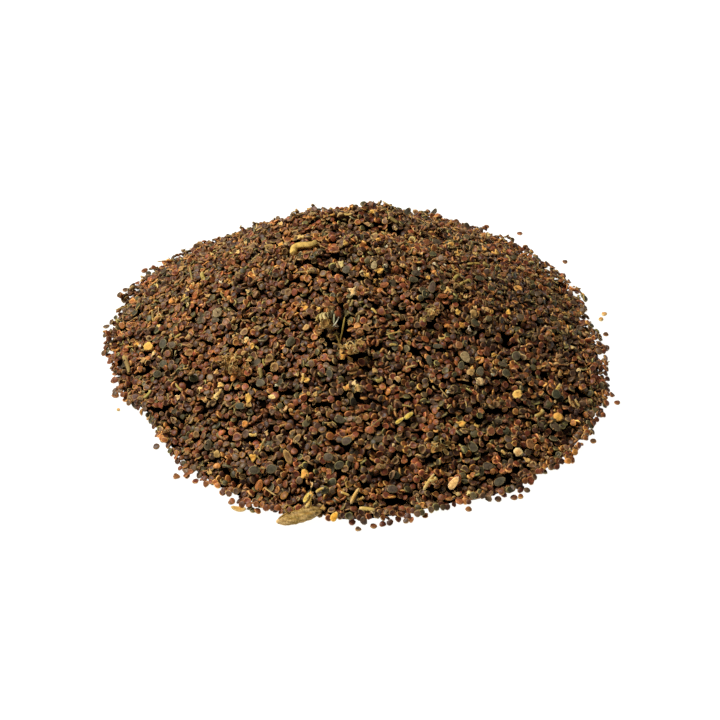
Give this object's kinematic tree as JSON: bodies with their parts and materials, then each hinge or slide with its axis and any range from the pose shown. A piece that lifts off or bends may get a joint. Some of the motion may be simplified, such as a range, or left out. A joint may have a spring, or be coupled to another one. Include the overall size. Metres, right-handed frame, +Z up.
{
  "type": "heap of stock seeds",
  "caption": "Low rounded heap of small flat brown seeds with chaff and stalk bits, lying loose on a bare surface, no dish.",
  "frame": {"origin": "on the surface it lies on, under the middle of its whole plan", "axes": "+Z up out of the heap; +Y away from the side the picture shows; +X to the picture's right"},
  "size_m": [0.1537, 0.1516, 0.0382],
  "materials": {
    "seed_coat": "dry satin seed coat, red brown with a paler rim",
    "dry_husk": "matte dried pod, olive tan and speckled",
    "dried_stalk": "matte dried stalk, olive yellow",
    "pale_chaff": "matte papery chaff, cream to straw"
  },
  "bodies": {
    "root": {"seed_heap": "seed_coat", "front_husk": "dry_husk", "curled_stalk": "dried_stalk", "loose_chaff": "pale_chaff", "stray_seed_01": "seed_coat", "stray_seed_02": "seed_coat", "stray_seed_03": "seed_coat", "stray_seed_04": "pale_chaff", "stray_seed_05": "seed_coat", "stray_seed_06": "seed_coat", "stray_seed_07": "seed_coat", "stray_seed_08": "seed_coat", "stray_seed_09": "seed_coat", "stray_seed_10": "seed_coat", "stray_seed_11": "seed_coat", "stray_seed_12": "seed_coat", "stray_seed_13": "pale_chaff", "stray_seed_14": "pale_chaff", "stray_seed_15": "seed_coat", "stray_seed_16": "seed_coat", "stray_seed_17": "seed_coat", "stray_seed_18": "seed_coat", "stray_seed_19": "seed_coat"}
  },
  "joints": []
}
